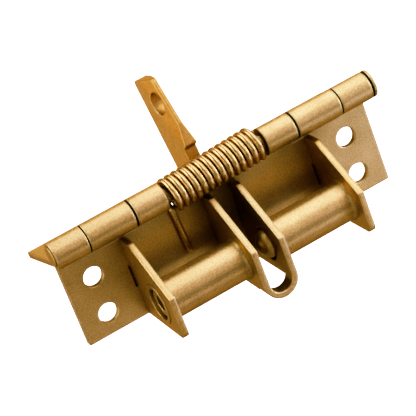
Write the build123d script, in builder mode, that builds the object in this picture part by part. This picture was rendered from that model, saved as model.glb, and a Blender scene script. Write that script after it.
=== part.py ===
from build123d import *
from math import asin, cos, degrees, hypot, radians, sin, sqrt
import os

# Self-closing door hinge with a hold-open catch, in millimetres.
# Z runs along the hinge pin. The front leaf lies towards -X and its plates stand towards -Y.
# The rear leaf is drawn opened flat, towards +X, on a frame that is folded back by rear_fold.
# Pieces are drawn about the pin's axis, then moved so that the object's origin is the middle of
# the front leaf's screw holes, on its back.

# Barrel, pin and washers
barrel_d = 10.0
sheet_t = 2.1
running_gap = 0.05
spring_room = 39.3
inner_knuckle = 11.65
long_knuckle = 17.25
outer_knuckle = 12.05
inner_washer_t = 0.8
outer_washer_t = 0.5
head_washer_t = 0.9
washer_inset = 0.15
washer_play = 0.05
head_t = 1.1
head_round = 0.45
rivet_d = 7.3
rivet_t = 0.5
rivet_round = 0.25

# Leaves
leaf_reach = 37.0
leaf_upper = 61.2
leaf_lower = 60.3
leaf_relief = 6.95
leaf_corner_r = 0.6
rear_fold = 102.3
hole_d = 7.2
hole_near = 15.0
hole_far = 29.4
hole_span = 101.0

# Plates that stand on the front leaf, held by tabs in slots
bracket_mid = 0.15
plate_t = 2.1
plate_near = 7.3
plate_shoulder = 7.5
plate_crest = 21.3
plate_rise = 29.3
tip_r = 3.0
shoulder_r = 0.7
end_plate_span = 75.8
slot_near = 17.9
slot_length = 8.2
slit_w = 0.7
slit_depth = 1.0
fit_gap = 0.05

# Centre bracket, one strip bent to a U
bracket_gap = 8.5
bend_inset = 2.0
bridge_w = 5.4

# Catch tubes, with a collar against each plate
tube_inset = 9.5
tube_rise = 16.0
tube_d = 14.6
tube_bore = 13.0
collar_d = 15.8
collar_h = 1.2
tube_proud = 0.35
thread_length = 9.0
mouth_d = 11.8
mouth_depth = 1.7

# Plungers, their springs and the adjusting screws
plunger_window = 12.4
nose_d = 10.4
dome_h = 3.6
plunger_play = 0.1
skirt_length = 6.0
cup_d = 9.4
cup_depth = 4.0
catch_wire = 1.3
catch_spring_d = 8.4
catch_turns = 7.0
adjuster_d = 10.0
adjuster_length = 7.0
adjuster_sink = 0.9
adjuster_chamfer = 0.4
socket_size = 5.4
socket_depth = 4.0

# Torsion spring, loose and a little askew on the pin
wire_d = 2.2
coil_d = 10.75
coil_length = 35.6
coil_mid = 0.25
coil_turns = 14
coil_tilt = 3.0
leg_seat = 0.1
leg_bend = 1.4
front_leg = 17.4
rear_leg = 16.0

# Strike arm, standing on the rear leaf
arm_t = 4.4
arm_mid = 0.6
arm_near = 10.3
arm_back = 31.4
arm_foot = 27.2
arm_notch = 10.8
nose_reach = 7.5
nose_low = 12.2
brow_reach = 8.9
brow_rise = 20.0
arm_tip_near = 15.5
arm_crown = 4.5
arm_tip_r = 2.0
arm_tab_near = 17.0
arm_tab = 8.0
detent_d = 8.4
detent_near = 17.8
bevel_w = 8.0
bevel_depth = 1.4

# Places worked out from the sizes above
barrel_r = barrel_d / 2
bore_r = barrel_r - sheet_t
pin_r = bore_r - running_gap
face_y = barrel_r - sheet_t
leaf_length = leaf_upper + leaf_lower
leaf_mid = (leaf_upper - leaf_lower) / 2
inner_z = spring_room / 2
washer_z1 = inner_z + inner_knuckle
long_z = washer_z1 + inner_washer_t
washer_z2 = long_z + long_knuckle
outer_z = washer_z2 + outer_washer_t
barrel_z = outer_z + outer_knuckle
bracket_in = bracket_gap / 2
bracket_out = bracket_in + plate_t
end_plate_in = end_plate_span / 2 - plate_t
crest_y = face_y - plate_rise
bend_start = leaf_reach - bend_inset
tube_reach = leaf_reach - tube_inset
tube_y = face_y - tube_rise
tube_r = tube_d / 2
tube_end = end_plate_span / 2 + tube_proud
thread_r = adjuster_d / 2 + running_gap
plunger_tip = bracket_in - dome_h
skirt_z = bracket_out + plunger_play
adjuster_out = tube_end - adjuster_sink
wire_r = wire_d / 2
coil_r = coil_d / 2
catch_radius = hypot(tube_reach, tube_y)

# Frames: the back of each leaf lies on the barrel's tangent, and rear_frame is the folded rear leaf
fold_x = Vector(cos(radians(rear_fold)), sin(radians(rear_fold)), 0)
fold_y = Vector(-sin(radians(rear_fold)), cos(radians(rear_fold)), 0)
rear_frame = Plane(origin=(0, 0, 0), x_dir=fold_x, z_dir=(0, 0, 1))
rear_back = Plane(origin=fold_y * barrel_r, x_dir=fold_x, z_dir=-fold_y)
front_back = Plane.XZ.offset(-barrel_r)
tube_axis = Axis((-tube_reach, tube_y, bracket_mid), (0, 0, 1))
to_origin = Location(((hole_near + hole_far) / 2, -barrel_r, -leaf_mid))

os.makedirs("parts", exist_ok=True)


def finish(piece, name):
    """Move a finished piece to the object's origin, label it and write it to its own file."""
    placed = piece.part.moved(to_origin)
    placed.label = name
    export_step(placed, f"parts/{name}.step")


def leaf_outline(outline, side, notches):
    """Draw a leaf's flat sheet; side is -1 or 1, the way it lies along x from the pin."""
    with Locations((side * leaf_reach / 2, leaf_mid)):
        Rectangle(leaf_reach, leaf_length)
    free_corners = outline.vertices().group_by(Axis.X)[0 if side < 0 else -1]
    fillet(free_corners, leaf_corner_r)
    for low, high in notches:
        with Locations((side * leaf_relief / 2, (low + high) / 2)):
            Rectangle(leaf_relief, high - low, mode=Mode.SUBTRACT)
    for reach in (hole_near, hole_far):
        for end in (-1, 1):
            with Locations((side * reach, leaf_mid + end * hole_span / 2)):
                Circle(hole_d / 2, mode=Mode.SUBTRACT)


def add_knuckles(spans):
    """Roll the barrel's knuckles on to a leaf and bore them for the pin."""
    for low, high in spans:
        with BuildSketch(Plane.XY.offset(low)) as knuckle:
            Circle(barrel_r)
        extrude(knuckle.sketch, amount=high - low)
    with BuildSketch(Plane.XY.offset(-barrel_z)) as bore_circle:
        Circle(bore_r)
    extrude(bore_circle.sketch, amount=2 * barrel_z, mode=Mode.SUBTRACT)


def plate_outline(outline, bent):
    """Draw a standing plate: upright shoulder, sloped front, level crest and its tab in the leaf."""
    shoulder = (-plate_near, face_y - plate_shoulder)
    tip = (-leaf_reach, crest_y)
    top = [tip]
    if bent:
        step_y = crest_y + bridge_w
        top = [(-bend_start, crest_y), (-bend_start, step_y), (-leaf_reach, step_y)]
    with BuildLine() as edge:
        Polyline(
            (-plate_near, face_y),
            shoulder,
            (-plate_crest, crest_y),
            *top,
            (-leaf_reach, face_y),
            close=True,
        )
    make_face(edge.edges())
    fillet(outline.vertices().sort_by_distance(shoulder)[0], shoulder_r)
    if not bent:
        fillet(outline.vertices().sort_by_distance(tip)[0], tip_r)
    with Locations((-slot_near - slot_length / 2, face_y + sheet_t / 2)):
        Rectangle(slot_length - 2 * fit_gap, sheet_t)


# Front leaf: four short knuckles, and slots for the tabs of the plates that stand on it.
# A shallow slit runs along the upper side of each end plate's slot.
front_notches = [(-inner_z, inner_z), (washer_z1, outer_z), (-outer_z, -washer_z1)]
front_knuckles = [
    (outer_z, barrel_z),
    (inner_z, washer_z1),
    (-washer_z1, -inner_z),
    (-barrel_z, -outer_z),
]
end_slots = (end_plate_in, -end_plate_in - plate_t)

with BuildPart() as front_leaf:
    with BuildSketch(front_back) as front_sheet:
        leaf_outline(front_sheet, -1, front_notches)
        for low in (*end_slots, bracket_in, -bracket_out):
            with Locations((-slot_near - slot_length / 2, bracket_mid + low + plate_t / 2)):
                Rectangle(slot_length, plate_t + 2 * fit_gap, mode=Mode.SUBTRACT)
    extrude(amount=sheet_t)
    with BuildSketch(front_back.offset(sheet_t)):
        for low in end_slots:
            with Locations((-slot_near - slot_length / 2, bracket_mid + low + plate_t + slit_w / 2)):
                Rectangle(slot_length, slit_w)
    extrude(amount=-slit_depth, mode=Mode.SUBTRACT)
    add_knuckles(front_knuckles)
finish(front_leaf, "front_leaf")

# Rear leaf: two long knuckles between the short ones, and a slot for the strike arm's tab
long_low = long_z + washer_play
long_high = washer_z2 - washer_play
rear_notches = [(-long_low, long_low), (long_high, leaf_upper), (-leaf_lower, -long_high)]

with BuildPart() as rear_leaf:
    with BuildSketch(rear_back) as rear_sheet:
        leaf_outline(rear_sheet, 1, rear_notches)
        with Locations((arm_tab_near + arm_tab / 2, arm_mid)):
            Rectangle(arm_tab, arm_t + 2 * fit_gap, mode=Mode.SUBTRACT)
    extrude(amount=sheet_t)
    add_knuckles([(long_low, long_high), (-long_high, -long_low)])
finish(rear_leaf, "rear_leaf")

# Hinge pin: a flat round head below the barrel and a riveted button above it
head_top = -barrel_z - head_washer_t

with BuildPart() as hinge_pin:
    with BuildSketch(Plane.XY.offset(head_top)):
        Circle(barrel_r)
    extrude(amount=-head_t)
    fillet(hinge_pin.edges().group_by(Axis.Z)[0], head_round)
    with BuildSketch(Plane.XY.offset(barrel_z)):
        Circle(rivet_d / 2)
    extrude(amount=rivet_t)
    fillet(hinge_pin.edges().group_by(Axis.Z)[-1], rivet_round)
    with BuildSketch(Plane.XY.offset(head_top)):
        Circle(pin_r)
    extrude(amount=barrel_z - head_top)
finish(hinge_pin, "hinge_pin")

# Washers between the knuckles and under the pin's head
washers = {
    "upper_outer_washer": (washer_z2, outer_washer_t),
    "upper_inner_washer": (washer_z1, inner_washer_t),
    "lower_inner_washer": (-long_z, inner_washer_t),
    "lower_outer_washer": (-outer_z, outer_washer_t),
    "head_washer": (head_top, head_washer_t),
}

for washer_name, (low, thick) in washers.items():
    with BuildPart() as washer:
        with BuildSketch(Plane.XY.offset(low)):
            Circle(barrel_r - washer_inset)
            Circle(bore_r, mode=Mode.SUBTRACT)
        extrude(amount=thick)
    finish(washer, washer_name)

# Torsion spring: a helix on a tilted axis, bent out at each end to a leg that lies on a leaf
tilt = radians(coil_tilt)
coil_axis = Vector(-sin(tilt), 0, cos(tilt))
coil_x = Vector(cos(tilt), 0, sin(tilt))
coil_low = Vector(0, 0, coil_mid) - coil_axis * (coil_length / 2)
coil_high = coil_low + coil_axis * coil_length
seat_y = face_y - wire_r - leg_seat
front_turn = 180 - degrees(asin(seat_y / coil_r))
rear_turn = rear_fold + degrees(asin((seat_y - coil_low.dot(fold_y)) / coil_r))
bend_turn = degrees(leg_bend / coil_r)
turns = coil_turns + (front_turn - rear_turn - 2 * bend_turn) / 360


def coil_way(turn):
    """Point out from the coil's axis at an angle in degrees."""
    return coil_x * cos(radians(turn)) + Vector(0, sin(radians(turn)), 0)


coil_frame = Plane(origin=coil_low, x_dir=coil_way(rear_turn + bend_turn), z_dir=coil_axis)
coil = coil_frame.location * Helix(pitch=coil_length / turns, height=coil_length, radius=coil_r)
rear_corner = coil_low + coil_way(rear_turn) * coil_r
front_corner = coil_high + coil_way(front_turn) * coil_r
rear_start = rear_corner + fold_x * leg_bend
front_start = front_corner - coil_x * leg_bend
spring_wire = Wire(
    [
        Line(rear_corner + fold_x * rear_leg, rear_start),
        Spline(rear_start, coil @ 0, tangents=(-fold_x, coil % 0)),
        coil,
        Spline(coil @ 1, front_start, tangents=(coil % 1, -coil_x)),
        Line(front_start, front_corner - coil_x * front_leg),
    ]
)

with BuildPart() as torsion_spring:
    with BuildSketch(Plane(origin=spring_wire @ 0, z_dir=spring_wire % 0)):
        Circle(wire_r)
    sweep(path=spring_wire)
finish(torsion_spring, "torsion_spring")

# End plates: the catch tubes pass through them
for plate_name, low in (("upper_end_plate", end_plate_in), ("lower_end_plate", -end_plate_in - plate_t)):
    with BuildPart() as end_plate:
        with BuildSketch(Plane.XY.offset(bracket_mid + low)) as end_outline:
            plate_outline(end_outline, bent=False)
            with Locations((-tube_reach, tube_y)):
                Circle(tube_r + fit_gap, mode=Mode.SUBTRACT)
        extrude(amount=plate_t)
    finish(end_plate, plate_name)

# Centre bracket: two plates joined past the leaf's edge by a round bend, with a window in each
with BuildPart() as centre_bracket:
    for low in (bracket_in, -bracket_out):
        with BuildSketch(Plane.XY.offset(bracket_mid + low)) as bracket_outline:
            plate_outline(bracket_outline, bent=True)
            with Locations((-tube_reach, tube_y)):
                Circle(plunger_window / 2, mode=Mode.SUBTRACT)
        extrude(amount=plate_t)
    with BuildSketch(Plane.XZ.offset(-crest_y)):
        with Locations((-bend_start, bracket_mid)):
            Circle(bracket_out)
            Circle(bracket_in, mode=Mode.SUBTRACT)
        with Locations((-bend_start + bracket_out / 2, bracket_mid)):
            Rectangle(bracket_out, 2 * bracket_out, mode=Mode.SUBTRACT)
    extrude(amount=-bridge_w)
finish(centre_bracket, "centre_bracket")

# One catch on each side of the centre bracket: tube, plunger, spring and adjusting screw
bore = tube_bore / 2
skirt_r = bore - running_gap
skirt_end = skirt_z + skirt_length
cup_z = skirt_end - cup_depth
thread_z = tube_end - thread_length
mouth_z = tube_end - mouth_depth
adjuster_in = adjuster_out - adjuster_length
nose_r = nose_d / 2
dome_r = (nose_r**2 + dome_h**2) / (2 * dome_h)
dome_turn = asin(nose_r / dome_r) / 2
dome_middle = (dome_r * sin(dome_turn), plunger_tip + dome_r * (1 - cos(dome_turn)))
catch_low = cup_z + catch_wire / 2
catch_length = adjuster_in - catch_wire / 2 - catch_low
catch_r = (catch_spring_d - catch_wire) / 2

for way, end_name in ((1, "upper"), (-1, "lower")):
    catch_plane = Plane(origin=tube_axis.position, x_dir=(1, 0, 0), z_dir=(0, -way, 0))

    with BuildPart() as tube:
        with BuildSketch(catch_plane):
            with BuildLine():
                Polyline(
                    (bore, bracket_out),
                    (collar_d / 2, bracket_out),
                    (tube_r, bracket_out + collar_h),
                    (tube_r, end_plate_in - collar_h),
                    (collar_d / 2, end_plate_in),
                    (tube_r, end_plate_in),
                    (tube_r, tube_end),
                    (mouth_d / 2, tube_end),
                    (mouth_d / 2, mouth_z),
                    (thread_r, mouth_z),
                    (thread_r, thread_z),
                    (bore, thread_z),
                    close=True,
                )
            make_face()
        revolve(axis=tube_axis)
    finish(tube, f"{end_name}_tube")

    with BuildPart() as plunger:
        with BuildSketch(catch_plane):
            with BuildLine():
                ThreePointArc((0, plunger_tip), dome_middle, (nose_r, bracket_in))
                Polyline(
                    (nose_r, bracket_in),
                    (nose_r, skirt_z),
                    (skirt_r, skirt_z),
                    (skirt_r, skirt_end),
                    (cup_d / 2, skirt_end),
                    (cup_d / 2, cup_z),
                    (0, cup_z),
                    (0, plunger_tip),
                )
            make_face()
        revolve(axis=tube_axis)
    finish(plunger, f"{end_name}_plunger")

    spring_start = tube_axis.position + Vector(0, 0, way * catch_low)
    catch_frame = Plane(origin=spring_start, x_dir=(1, 0, 0), z_dir=(0, 0, way))
    catch_helix = Helix(pitch=catch_length / catch_turns, height=catch_length, radius=catch_r)
    catch_path = catch_frame.location * catch_helix
    with BuildPart() as catch_spring:
        with BuildSketch(Plane(origin=catch_path @ 0, z_dir=catch_path % 0)):
            Circle(catch_wire / 2)
        sweep(path=catch_path, is_frenet=True)
    finish(catch_spring, f"{end_name}_catch_spring")

    screw_plane = Plane(tube_axis.position + Vector(0, 0, way * adjuster_out), z_dir=(0, 0, way))
    with BuildPart() as adjuster:
        with BuildSketch(screw_plane):
            Circle(adjuster_d / 2)
        extrude(amount=-adjuster_length)
        chamfer(adjuster.edges().filter_by(GeomType.CIRCLE), adjuster_chamfer)
        with BuildSketch(screw_plane):
            RegularPolygon(socket_size / 2, 6, major_radius=False)
        extrude(amount=-socket_depth, mode=Mode.SUBTRACT)
    finish(adjuster, f"{end_name}_adjuster")

# Strike arm: a thick plate with a bevelled leading edge and the hole that the plungers drop into
arm_low = arm_mid - arm_t / 2
detent_y = -sqrt(catch_radius**2 - detent_near**2)
arm_rise = face_y - detent_y + detent_d / 2 + arm_crown
brow = (brow_reach, face_y - brow_rise)
tip_near = (arm_tip_near, face_y - arm_rise)
tip_back = (arm_back, face_y - arm_rise)
edge_x = tip_near[0] - brow[0]
edge_y = tip_near[1] - brow[1]
edge_length = hypot(edge_x, edge_y)
edge_way = (fold_x * edge_x + fold_y * edge_y) / edge_length
edge_in = (fold_x * -edge_y + fold_y * edge_x) / edge_length
brow_point = fold_x * brow[0] + fold_y * brow[1] + Vector(0, 0, arm_mid)
nose_point = fold_x * nose_reach + fold_y * (face_y - nose_low) + Vector(0, 0, arm_mid)
to_face = Vector(0, 0, arm_t / 2)
to_land = Vector(0, 0, arm_t / 2 - bevel_depth)
bevel_plane = Plane(origin=brow_point, x_dir=edge_in, z_dir=edge_way)
bevel_out = bevel_depth * (1 + arm_t / bevel_w)
facet_top = edge_in * bevel_w + to_face - to_land
facet_low = nose_point + to_face - brow_point - to_land
facet_plane = Plane(origin=brow_point + to_land, x_dir=facet_top, z_dir=facet_top.cross(facet_low))

# The bevels on both sides of the leading edge run out in a facet between the brow and the nose
with BuildPart() as bevels:
    with BuildSketch(bevel_plane):
        with BuildLine():
            Polyline(
                (-arm_t, arm_t),
                (-arm_t, arm_t / 2 - bevel_out),
                (bevel_w, arm_t / 2),
                (bevel_w, arm_t),
                close=True,
            )
        make_face()
    extrude(amount=2 * edge_length, both=True)
    split(bisect_by=facet_plane, keep=Keep.TOP)
    mirror(about=Plane.XY.offset(arm_mid))

with BuildPart() as strike_arm:
    with BuildSketch(rear_frame.offset(arm_low)) as arm_outline:
        with BuildLine():
            Polyline(
                (arm_near, face_y),
                (arm_near, face_y - arm_notch),
                (nose_reach, face_y - nose_low),
                brow,
                tip_near,
                tip_back,
                (arm_foot, face_y),
                close=True,
            )
        make_face()
        for corner in (brow, tip_near, tip_back):
            fillet(arm_outline.vertices().sort_by_distance(corner)[0], arm_tip_r)
        with Locations((arm_tab_near + arm_tab / 2, face_y + sheet_t / 2)):
            Rectangle(arm_tab - 2 * fit_gap, sheet_t)
        with Locations((detent_near, detent_y)):
            Circle(detent_d / 2, mode=Mode.SUBTRACT)
    extrude(amount=arm_t)
    add(bevels.part, mode=Mode.SUBTRACT)
finish(strike_arm, "strike_arm")
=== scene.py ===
import math

import bpy
import numpy as np
from mathutils import Matrix, Vector


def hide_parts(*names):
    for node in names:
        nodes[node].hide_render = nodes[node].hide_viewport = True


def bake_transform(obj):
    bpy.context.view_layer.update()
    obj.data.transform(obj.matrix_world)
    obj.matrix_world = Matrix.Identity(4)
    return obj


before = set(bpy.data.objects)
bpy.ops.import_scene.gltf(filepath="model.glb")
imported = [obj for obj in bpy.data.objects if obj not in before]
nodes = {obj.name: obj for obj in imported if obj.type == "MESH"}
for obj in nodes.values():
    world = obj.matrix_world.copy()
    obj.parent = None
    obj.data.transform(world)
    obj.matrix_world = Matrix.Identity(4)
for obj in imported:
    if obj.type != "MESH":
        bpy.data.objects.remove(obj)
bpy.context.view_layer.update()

# Front leaf and rear leaf
# Two plates of sheet steel, each rolled into its knuckles, punched and then plated in satin gold.
# The plating is fine-grained: the blasted steel shows through it as a speckle. Its edges are
# painted paler, partly as wear and partly as a painted highlight.


def gold_plating():
    """Node group. A fine noise gives the speckle and a coarse one the cloudiness of the plating;
    their sum runs from the deep colour to the pale one. Edges are made paler, partly as wear and
    partly as a painted highlight, and what is hidden from the open air is darkened towards brown
    as painted shade."""
    group = bpy.data.node_groups.new("gold_plating", "ShaderNodeTree")
    socket = group.interface.new_socket
    socket("Place", in_out="INPUT", socket_type="NodeSocketVector")
    for name in ("Deep", "Pale", "Wear And Highlight"):
        socket(name, in_out="INPUT", socket_type="NodeSocketColor")
    for name in ("Edge", "Painted Shade", "Speckle", "Dullness"):
        socket(name, in_out="INPUT", socket_type="NodeSocketFloat")
    socket("Colour", in_out="OUTPUT", socket_type="NodeSocketColor")
    for name in ("Roughness", "Height"):
        socket(name, in_out="OUTPUT", socket_type="NodeSocketFloat")
    make, link = group.nodes.new, group.links.new
    given, result = make("NodeGroupInput"), make("NodeGroupOutput")

    fine = make("ShaderNodeTexNoise")
    fine.inputs["Scale"].default_value = 1900.0
    fine.inputs["Detail"].default_value = 3.0
    fine.inputs["Roughness"].default_value = 0.65
    cloud = make("ShaderNodeTexNoise")
    cloud.inputs["Scale"].default_value = 150.0
    cloud.inputs["Detail"].default_value = 3.0
    for noise in (fine, cloud):
        link(given.outputs["Place"], noise.inputs["Vector"])

    grain = make("ShaderNodeMapRange")
    grain.inputs["From Min"].default_value = 0.36
    grain.inputs["From Max"].default_value = 0.64
    grain.inputs["To Min"].default_value = -0.5
    grain.inputs["To Max"].default_value = 0.5
    link(fine.outputs["Fac"], grain.inputs["Value"])
    speckle = make("ShaderNodeMath")
    speckle.operation = "MULTIPLY_ADD"
    speckle.use_clamp = True
    link(grain.outputs["Result"], speckle.inputs[0])
    link(given.outputs["Speckle"], speckle.inputs[1])
    link(cloud.outputs["Fac"], speckle.inputs[2])

    plate = make("ShaderNodeMix")
    plate.data_type = "RGBA"
    link(speckle.outputs[0], plate.inputs["Factor"])
    link(given.outputs["Deep"], plate.inputs["A"])
    link(given.outputs["Pale"], plate.inputs["B"])
    # Edges are mixed towards a pale gold, partly as wear and partly as a painted highlight.
    wear_and_highlight = make("ShaderNodeMix")
    wear_and_highlight.data_type = "RGBA"
    link(given.outputs["Edge"], wear_and_highlight.inputs["Factor"])
    link(plate.outputs["Result"], wear_and_highlight.inputs["A"])
    link(given.outputs["Wear And Highlight"], wear_and_highlight.inputs["B"])
    # Painted shade: the colour is mixed towards dark brown where little open sky is within reach.
    painted_shade_mix = make("ShaderNodeMix")
    painted_shade_mix.data_type = "RGBA"
    painted_shade_mix.inputs["B"].default_value = (0.035, 0.020, 0.006, 1.0)
    link(given.outputs["Painted Shade"], painted_shade_mix.inputs["Factor"])
    link(wear_and_highlight.outputs["Result"], painted_shade_mix.inputs["A"])
    link(painted_shade_mix.outputs["Result"], result.inputs["Colour"])

    rough = make("ShaderNodeMath")
    rough.operation = "MULTIPLY_ADD"
    rough.inputs[1].default_value = 0.06
    link(grain.outputs["Result"], rough.inputs[0])
    link(given.outputs["Dullness"], rough.inputs[2])
    link(rough.outputs[0], result.inputs["Roughness"])
    link(fine.outputs["Fac"], result.inputs["Height"])
    return group


plating = gold_plating()


def plated(name, deep, pale, edge=0.0005, reach=0.0008, dullness=0.40):
    """Gold-plated metal. The edge mask is how far the rounded normal turns from the face's own, and
    it pales the edges as wear and as a painted highlight; the painted shade grows as the open sky
    within reach shrinks, darkening hollows, corners and the gaps between parts; and the bump is the
    plating's speckle laid over the rounded normal."""
    material = bpy.data.materials.new(name)
    material.use_nodes = True
    tree = material.node_tree
    make, link = tree.nodes.new, tree.links.new
    metal = tree.nodes["Principled BSDF"]
    metal.inputs["Metallic"].default_value = 1.0
    metal.inputs["Specular Tint"].default_value = (0.95, 0.76, 0.42, 1.0)

    place, shape = make("ShaderNodeTexCoord"), make("ShaderNodeNewGeometry")
    rounded = make("ShaderNodeBevel")
    rounded.samples = 6
    rounded.inputs["Radius"].default_value = edge
    facing = make("ShaderNodeVectorMath")
    facing.operation = "DOT_PRODUCT"
    link(shape.outputs["Normal"], facing.inputs[0])
    link(rounded.outputs["Normal"], facing.inputs[1])
    # The edge mask, which paints the edges paler: partly wear, partly painted highlight.
    turned = make("ShaderNodeMapRange")
    turned.inputs["From Min"].default_value = 0.995
    turned.inputs["From Max"].default_value = 0.85
    turned.inputs["To Max"].default_value = 0.6
    link(facing.outputs["Value"], turned.inputs["Value"])

    # Painted shade: ambient occlusion darkens the colour in hollows, corners and between parts, in
    # place of their shadow.
    hollow = make("ShaderNodeAmbientOcclusion")
    hollow.samples = 8
    hollow.inputs["Distance"].default_value = reach
    painted_shade = make("ShaderNodeMapRange")
    painted_shade.inputs["From Min"].default_value = 0.68
    painted_shade.inputs["From Max"].default_value = 0.22
    painted_shade.inputs["To Max"].default_value = 0.9
    link(hollow.outputs["AO"], painted_shade.inputs["Value"])

    finish = make("ShaderNodeGroup")
    finish.node_tree = plating
    link(painted_shade.outputs["Result"], finish.inputs["Painted Shade"])
    finish.inputs["Deep"].default_value = (*deep, 1.0)
    finish.inputs["Pale"].default_value = (*pale, 1.0)
    finish.inputs["Wear And Highlight"].default_value = (0.85, 0.66, 0.38, 1.0)
    finish.inputs["Speckle"].default_value = 1.0
    finish.inputs["Dullness"].default_value = dullness
    link(place.outputs["Object"], finish.inputs["Place"])
    link(turned.outputs["Result"], finish.inputs["Edge"])
    bump = make("ShaderNodeBump")
    bump.inputs["Strength"].default_value = 0.25
    bump.inputs["Distance"].default_value = 0.00012
    link(finish.outputs["Height"], bump.inputs["Height"])
    link(rounded.outputs["Normal"], bump.inputs["Normal"])
    link(finish.outputs["Colour"], metal.inputs["Base Color"])
    link(finish.outputs["Roughness"], metal.inputs["Roughness"])
    link(bump.outputs["Normal"], metal.inputs["Normal"])
    return material


def dress(material, *names):
    """Give CAD nodes a finish in place of the plain one that they came with."""
    for name in names:
        mesh = nodes[name].data
        mesh.materials.clear()
        mesh.materials.append(material)


deep_gold, pale_gold = (0.40, 0.283, 0.112), (0.62, 0.445, 0.205)
# The leaves' long reach paints shade on them by the plates, the tubes and the barrel.
leaf_gold = plated("leaf_gold", deep_gold, pale_gold, edge=0.001, reach=0.011)
dress(leaf_gold, "front_leaf", "rear_leaf")

# Hinge pin
# A steel pin with a flat head at the lower end and a riveted button at the upper one, plated as
# the leaves are. Between the inner knuckles it shows only in the shade of the spring, which its
# finish's long reach paints in as a dark brown painted shade.

pin_gold = plated("pin_gold", deep_gold, pale_gold, edge=0.0007, reach=0.005)
dress(pin_gold, "hinge_pin")

# Washers
# Thin black nylon rings between the knuckles and under the pin's head, set in a little from the
# barrel's face, so each shows as a dark line.


def black_nylon():
    """Nearly black plastic whose colour and gloss vary a little with a noise."""
    material = bpy.data.materials.new("black_nylon")
    material.use_nodes = True
    tree = material.node_tree
    plastic = tree.nodes["Principled BSDF"]
    place, mottle = tree.nodes.new("ShaderNodeTexCoord"), tree.nodes.new("ShaderNodeTexNoise")
    mottle.inputs["Scale"].default_value = 900.0
    tree.links.new(place.outputs["Object"], mottle.inputs["Vector"])
    tint = tree.nodes.new("ShaderNodeValToRGB")
    tint.color_ramp.elements[0].color = (0.002, 0.0016, 0.0012, 1.0)
    tint.color_ramp.elements[1].color = (0.009, 0.007, 0.005, 1.0)
    tree.links.new(mottle.outputs["Fac"], tint.inputs["Fac"])
    tree.links.new(tint.outputs["Color"], plastic.inputs["Base Color"])
    gloss = tree.nodes.new("ShaderNodeMapRange")
    gloss.inputs["To Min"].default_value = 0.6
    gloss.inputs["To Max"].default_value = 0.8
    plastic.inputs["Specular IOR Level"].default_value = 0.12
    tree.links.new(mottle.outputs["Fac"], gloss.inputs["Value"])
    tree.links.new(gloss.outputs["Result"], plastic.inputs["Roughness"])
    return material


dress(
    black_nylon(),
    "upper_outer_washer",
    "upper_inner_washer",
    "lower_inner_washer",
    "lower_outer_washer",
    "head_washer",
)

# Torsion spring
# Round wire coiled loosely about the pin between the inner knuckles, bent out at the top to a leg
# on the front leaf and at the bottom to a leg on the rear leaf. It winds up as the leaf swings.

pin_middle = np.array([0.0222, -0.0050, -0.00045])
leaf_face = 0.0029
fold = math.radians(102.3)
fold_x = np.array([math.cos(fold), math.sin(fold), 0.0])
fold_y = np.array([-math.sin(fold), math.cos(fold), 0.0])
wire_r, coil_r, coil_length = 0.0011, 0.005375, 0.0356
coil_turns, coil_steps = 14, 48
leg_seat, leg_bend, front_leg, rear_leg = 0.0001, 0.0014, 0.0174, 0.0160
tilt = math.radians(3.0)
coil_axis = np.array([-math.sin(tilt), 0.0, math.cos(tilt)])
coil_x = np.array([math.cos(tilt), 0.0, math.sin(tilt)])
coil_middle = np.array([0.0, 0.0, 0.00025])
coil_low = coil_middle - coil_axis * coil_length / 2
coil_high = coil_low + coil_axis * coil_length


def coil_way(turn):
    """Unit vectors out from the coil's axis at angles in radians."""
    turn = np.atleast_1d(turn)[:, None]
    return np.cos(turn) * coil_x + np.sin(turn) * np.array([0.0, 1.0, 0.0])


def elbow(start, start_way, end, end_way, count):
    """Cubic between two points that leaves and arrives along the given directions."""
    t = np.linspace(0, 1, count)[1:-1, None]
    reach = np.linalg.norm(end - start)
    return (
        (2 * t**3 - 3 * t**2 + 1) * start
        + (t**3 - 2 * t**2 + t) * reach * start_way
        + (3 * t**2 - 2 * t**3) * end
        + (t**3 - t**2) * reach * end_way
    )


def spring_line():
    """The wire's middle line: straight leg, elbow, helix of fourteen turns, elbow, straight leg."""
    leg_points, elbow_points = 8, 10
    seat = leaf_face - wire_r - leg_seat
    bend = leg_bend / coil_r
    front_turn = math.pi - math.asin(seat / coil_r)
    rear_turn = fold + math.asin((seat - coil_low @ fold_y) / coil_r)
    sweep = coil_turns * 2 * math.pi + front_turn - rear_turn - 2 * bend
    share = np.linspace(0, 1, coil_turns * coil_steps)
    turn = rear_turn + bend + sweep * share
    helix = coil_low + share[:, None] * coil_length * coil_axis + coil_r * coil_way(turn)
    along = helix[[1, -1]] - helix[[0, -2]]
    along = along / np.linalg.norm(along, axis=1)[:, None]
    rear_corner = coil_low + coil_r * coil_way(rear_turn)[0]
    front_corner = coil_high + coil_r * coil_way(front_turn)[0]
    rear_start = rear_corner + fold_x * leg_bend
    front_start = front_corner - coil_x * leg_bend
    steps = np.linspace(1, 0, leg_points)[:-1, None]
    rear_run = rear_start + steps * (rear_leg - leg_bend) * fold_x
    front_run = front_start - steps[::-1] * (front_leg - leg_bend) * coil_x
    return np.vstack(
        [
            rear_run,
            rear_start[None],
            elbow(rear_start, -fold_x, helix[0], along[0], elbow_points),
            helix,
            elbow(helix[-1], along[1], front_start, -coil_x, elbow_points),
            front_start[None],
            front_run,
        ]
    )


def ring_quads(rows, count):
    """Four-cornered faces between rings of points that follow one another: each point, the next
    one round, and the same two on the next ring."""
    i, j = np.meshgrid(np.arange(rows - 1), np.arange(count), indexing="ij")
    k = (j + 1) % count
    quads = np.stack([i * count + j, i * count + k, (i + 1) * count + k, (i + 1) * count + j], -1)
    return quads.reshape(-1, 4).tolist()


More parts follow.
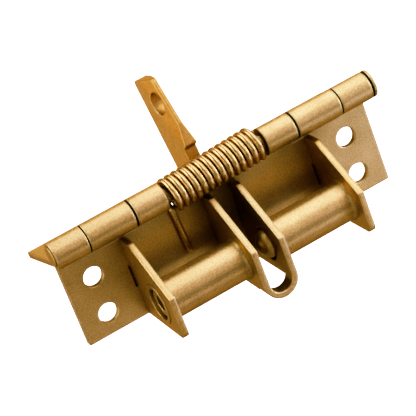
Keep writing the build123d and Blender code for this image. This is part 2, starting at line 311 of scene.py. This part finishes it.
def wire(name, line, radius, across, count=20):
    """A round wire: a circle carried along a line, turned by the part of `across` that is square
    to the line, with each end closed by a rounded cap of three shrinking circles."""
    way = np.gradient(line, axis=0)
    way /= np.linalg.norm(way, axis=1)[:, None]
    up = across - (way @ across)[:, None] * way
    up /= np.linalg.norm(up, axis=1)[:, None]
    side = np.cross(way, up)
    lift = np.radians([70.0, 45.0, 20.0])
    caps, cap_depth = len(lift), radius * 0.5
    middle = np.vstack(
        [
            line[0] - way[0] * cap_depth * np.sin(lift)[:, None],
            line,
            line[-1] + way[-1] * cap_depth * np.sin(lift[::-1])[:, None],
        ]
    )
    size = np.concatenate([np.cos(lift), np.ones(len(line)), np.cos(lift[::-1])]) * radius
    up = np.vstack([np.repeat(up[:1], caps, 0), up, np.repeat(up[-1:], caps, 0)])
    side = np.vstack([np.repeat(side[:1], caps, 0), side, np.repeat(side[-1:], caps, 0)])
    angle = np.linspace(0, 2 * np.pi, count, endpoint=False)
    ring = np.cos(angle)[None, :, None] * up[:, None] + np.sin(angle)[None, :, None] * side[:, None]
    points = (middle[:, None] + size[:, None, None] * ring).reshape(-1, 3)
    rows = len(middle)
    faces = ring_quads(rows, count)
    faces.append(list(range(count))[::-1])
    faces.append(list(range((rows - 1) * count, rows * count)))
    mesh = bpy.data.meshes.new(name)
    mesh.from_pydata(points.tolist(), [], faces)
    mesh.polygons.foreach_set("use_smooth", np.ones(len(faces), bool))
    mesh.update()
    piece = bpy.data.objects.new(name, mesh)
    bpy.context.scene.collection.objects.link(piece)
    return piece


spring = wire("wound_spring", spring_line() + pin_middle, wire_r, coil_axis)
spring_gold = plated(
    "spring_gold",
    (0.47, 0.325, 0.135),
    (0.74, 0.525, 0.25),
    edge=0.0001,
    reach=0.0002,
    dullness=0.30,
)
spring.data.materials.append(spring_gold)
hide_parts("torsion_spring")
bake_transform(spring)

# End plates and centre bracket
# Blanks of the same sheet that stand on the front leaf on tabs. The centre bracket is one strip
# bent round to a U, darkened inside with painted shade by its finish's long reach, and each of its
# sides has a window for a plunger.

plate_gold = plated("plate_gold", (0.41, 0.276, 0.100), (0.64, 0.436, 0.185), edge=0.0011)
dress(plate_gold, "upper_end_plate", "lower_end_plate")
# The bracket's long reach paints shade inside the U.
bracket_gold = plated("bracket_gold", deep_gold, pale_gold, edge=0.0011, reach=0.014)
dress(bracket_gold, "centre_bracket")

# Catch tubes with their plungers, springs and screws
# A turned tube on each side of the centre bracket holds a domed plunger, the spring behind it and
# the screw that sets its force.

# The tube's and the adjuster's reach paints shade into the tube mouths and where the tubes meet the
# plates.
tube_gold = plated("tube_gold", deep_gold, pale_gold, reach=0.002, dullness=0.38)
dress(tube_gold, "upper_tube", "lower_tube")
plunger_gold = plated("plunger_gold", deep_gold, pale_gold)
dress(plunger_gold, "upper_plunger", "lower_plunger")
adjuster_gold = plated("adjuster_gold", deep_gold, pale_gold, reach=0.003)
dress(adjuster_gold, "upper_adjuster", "lower_adjuster")
drawn_steel = plated("drawn_steel", (0.42, 0.41, 0.40), (0.60, 0.59, 0.57))


def catch_coil(end, way):
    """A helix of seven turns about the tube's axis, from the plunger's cup out to the screw. It is
    built as one fixed shape; the real coil shortens as the plunger sinks."""
    middle = np.array([-0.0053, -0.0181, -0.0003])
    inner_end, length, radius, thin_r = 0.0091, 0.0206, 0.00355, 0.00065
    turns, steps = 7, 36
    turn = np.linspace(0, turns * 2 * np.pi, turns * steps)
    out = inner_end + length * turn / turn[-1]
    line = np.stack([radius * np.cos(turn), way * radius * np.sin(turn), way * out], 1)
    axis = np.array([0.0, 0.0, 1.0])
    coil = wire(f"{end}_catch_coil", middle + line, thin_r, axis, count=12)
    coil.data.materials.append(drawn_steel)
    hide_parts(f"{end}_catch_spring")
    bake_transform(coil)


catch_coil("upper", 1)
catch_coil("lower", -1)

# Strike arm
# A thick plate on the rear leaf, bevelled along its leading edge so that it parts the plungers,
# with the hole that they drop into. Its bevel and cut faces are darker than its flat sides by
# painted shade chosen from which way each face turns, and its gold is a paler copy that stands
# in for the light on it.

# A paler copy of the gold: painted light standing in for the light on the arm's flat sides.
arm_gold = plated("arm_gold", (0.66, 0.455, 0.18), (0.95, 0.67, 0.30), edge=0.0010)


def shade_by_facing(material):
    """Painted shade by facing. The lean of the face's own normal from the pin's line picks a tint
    for
    its colour: plain on the flat, orange on the bevel, brown on the edges, shading the faces that
    turn from the lights."""
    tree = material.node_tree
    make, link = tree.nodes.new, tree.links.new
    metal = tree.nodes["Principled BSDF"]
    finish = metal.inputs["Base Color"].links[0].from_node
    place, lean = make("ShaderNodeTexCoord"), make("ShaderNodeSeparateXYZ")
    upright = make("ShaderNodeMath")
    upright.operation = "ABSOLUTE"
    link(place.outputs["Normal"], lean.inputs["Vector"])
    link(lean.outputs["Z"], upright.inputs[0])
    # Painted shade: the tint darkens the bevel and the cut faces by which way they face.
    tint = make("ShaderNodeValToRGB")
    edge, flat = tint.color_ramp.elements
    edge.position, edge.color = 0.93, (0.58, 0.48, 0.36, 1.0)
    flat.position, flat.color = 0.998, (1.0, 1.0, 1.0, 1.0)
    tint.color_ramp.elements.new(0.985).color = (0.98, 0.84, 0.60, 1.0)
    link(upright.outputs[0], tint.inputs["Fac"])
    facing_shade_mix = make("ShaderNodeMix")
    facing_shade_mix.data_type, facing_shade_mix.blend_type = "RGBA", "MULTIPLY"
    facing_shade_mix.inputs["Factor"].default_value = 1.0
    link(finish.outputs["Colour"], facing_shade_mix.inputs["A"])
    link(tint.outputs["Color"], facing_shade_mix.inputs["B"])
    link(facing_shade_mix.outputs["Result"], metal.inputs["Base Color"])


shade_by_facing(arm_gold)
dress(arm_gold, "strike_arm")

# Studio
# A plain white floor that curves up to a wall, soft boxes round the hinge, and the camera, which
# is turned on its side because the photograph shows the hinge lying across the picture.


def white_floor():
    """A round white floor below the hinge that curves up to a wall, turned from one profile of a
    line, a quarter circle and a line, and that lights nothing but itself."""
    flat_radius, bend_radius, wall_top, drop = 4.0, 1.0, 5.0, 0.075
    lift = np.linspace(0, np.pi / 2, 13)
    reach = np.append(flat_radius + bend_radius * np.sin(lift), flat_radius + bend_radius)
    height = np.append(bend_radius * (1 - np.cos(lift)), wall_top) - drop
    count = 64
    angle = np.linspace(0, 2 * np.pi, count, endpoint=False)
    ring = np.stack([np.cos(angle), np.sin(angle)], 1)
    points = np.concatenate(
        [reach[:, None, None] * ring, np.repeat(height[:, None, None], count, 1)], 2
    ).reshape(-1, 3)
    faces = [list(range(count))] + ring_quads(len(reach), count)
    mesh = bpy.data.meshes.new("floor")
    mesh.from_pydata(points.tolist(), [], faces)
    floor = bpy.data.objects.new("floor", mesh)
    bpy.context.scene.collection.objects.link(floor)
    material = bpy.data.materials.new("floor_white")
    material.use_nodes = True
    paper = material.node_tree.nodes["Principled BSDF"]
    paper.inputs["Base Color"].default_value = (0.9, 0.9, 0.9, 1.0)
    paper.inputs["Roughness"].default_value = 0.9
    paper.inputs["Emission Color"].default_value = (1.0, 1.0, 1.0, 1.0)
    paper.inputs["Emission Strength"].default_value = 1.6
    mesh.materials.append(material)
    floor.visible_glossy = floor.visible_diffuse = floor.visible_shadow = False


white_floor()


def soft_box(name, way, width, height, radiance, colour):
    """A rectangular light 0.6 m along a direction from the hinge, facing it, with its height along
    the pin. Its power is its radiance times pi times its area."""
    light = bpy.data.lights.new(name, "AREA")
    light.shape = "RECTANGLE"
    light.size, light.size_y = width, height
    light.energy = radiance * math.pi * width * height
    light.color = colour
    lamp = bpy.data.objects.new(name, light)
    bpy.context.scene.collection.objects.link(lamp)
    back = Vector(way).normalized()
    side = Vector((0, 0, 1)).cross(back).normalized()
    up = back.cross(side)
    turn = Matrix((side, up, back)).transposed()
    distance = 0.6
    lamp.matrix_world = Matrix.LocRotScale(back * distance, turn, None)


soft_box("key_light", (0.95, 0.0, -0.33), 1.0, 0.35, 1.95, (1.0, 0.88, 1.0))
soft_box("key_back_light", (0.62, 0.72, -0.26), 0.4, 0.35, 0.33, (1.0, 0.62, 0.46))
soft_box("front_light", (0.46, -0.85, -0.26), 0.45, 0.35, 0.62, (1.0, 0.77, 0.84))
soft_box("streak_light", (-0.56, -0.785, -0.26), 0.055, 0.8, 1.60, (1.0, 0.77, 0.72))
soft_box("left_fill_light", (-0.77, -0.58, -0.26), 0.45, 0.45, 0.05, (1.0, 0.80, 0.85))
soft_box("left_rim_light", (-0.96, -0.16, -0.23), 0.4, 0.5, 0.21, (1.0, 0.54, 0.20))
soft_box("top_light", (0.05, 0.05, 1.0), 0.6, 0.6, 1.40, (1.0, 0.80, 0.75))
soft_box("high_side_light", (0.62, 0.3, 0.72), 0.5, 0.4, 1.95, (1.0, 0.98, 0.98))
soft_box("high_back_light", (0.1, 0.75, 0.65), 0.5, 0.4, 0.14, (1.0, 0.45, 0.40))
soft_box("back_light", (-0.4, 0.88, 0.26), 0.6, 0.4, 0.15, (1.0, 0.60, 0.45))
soft_box("rear_light", (0.05, 0.97, -0.24), 0.25, 0.3, 0.72, (1.0, 0.72, 0.68))
soft_box("high_front_light", (0.1, -0.7, 0.7), 0.4, 0.4, 0.30, (1.0, 1.0, 1.0))
soft_box("low_front_light", (-0.44, -0.56, -0.71), 0.4, 0.4, 0.75, (1.0, 1.07, 1.68))
soft_box("under_light", (0.55, -0.1, -0.8), 0.5, 0.4, 0.95, (1.0, 1.05, 1.20))
soft_box("under_front_light", (0.2, -0.65, -0.72), 0.4, 0.4, 0.60, (1.0, 0.96, 1.25))
soft_box("end_light", (0.12, -0.3, -0.95), 0.25, 0.25, 4.0, (1.0, 0.95, 0.95))

world = bpy.data.worlds.new("studio")
bpy.context.scene.world = world
world.use_nodes = True
air = world.node_tree.nodes["Background"]
air.inputs["Color"].default_value = (1.0, 0.74, 0.75, 1.0)
air.inputs["Strength"].default_value = 0.15


def film_curve(steepness=1.35, gain=2.53):
    """The camera's response: one less the exponential of minus (gain times light) to a power, so
    that deep tones lose light and bright ones bend towards white. Its blue has a longer toe and
    its green is lifted in the shadows but not in black, which turns the shades of gold olive."""
    view = bpy.context.scene.view_settings
    view.view_transform = "Standard"
    view.use_curve_mapping = True
    response = view.curve_mapping
    response.extend = "HORIZONTAL"
    tone = response.curves[3].points
    for light in (0.03, 0.07, 0.12, 0.2, 0.3, 0.42, 0.58, 0.78):
        tone.new(light, 1 - math.exp(-((gain * light) ** steepness)))
    green, blue = response.curves[1].points, response.curves[2].points
    green_light = (0.01, 0.03, 0.055, 0.1, 0.17, 0.3)
    green_kept = (0.009, 0.035, 0.063, 0.104, 0.17, 0.3)
    blue_light = (0.015, 0.035, 0.065, 0.125, 0.3)
    blue_kept = (0.006, 0.023, 0.052, 0.12, 0.305)
    for light, kept in zip(green_light, green_kept):
        green.new(light, kept)
    for light, kept in zip(blue_light, blue_kept):
        blue.new(light, kept)
    response.update()


film_curve()

camera = bpy.data.cameras.new("camera")
camera.sensor_width = 36.0
focal_pixels, picture_pixels = 2131, 416
camera.lens = camera.sensor_width * focal_pixels / picture_pixels
camera.clip_start, camera.clip_end = 0.01, 20.0
viewer = bpy.data.objects.new("camera", camera)
bpy.context.scene.collection.objects.link(viewer)
across = Vector((-0.33000, -0.42685, -0.84196))
upward = Vector((0.84411, 0.26586, -0.46562))
stand = Vector((0.311087, -0.620117, 0.199772))
facing = Matrix((across, upward, across.cross(upward))).transposed()
viewer.matrix_world = Matrix.LocRotScale(stand, facing, None)
bpy.context.scene.camera = viewer
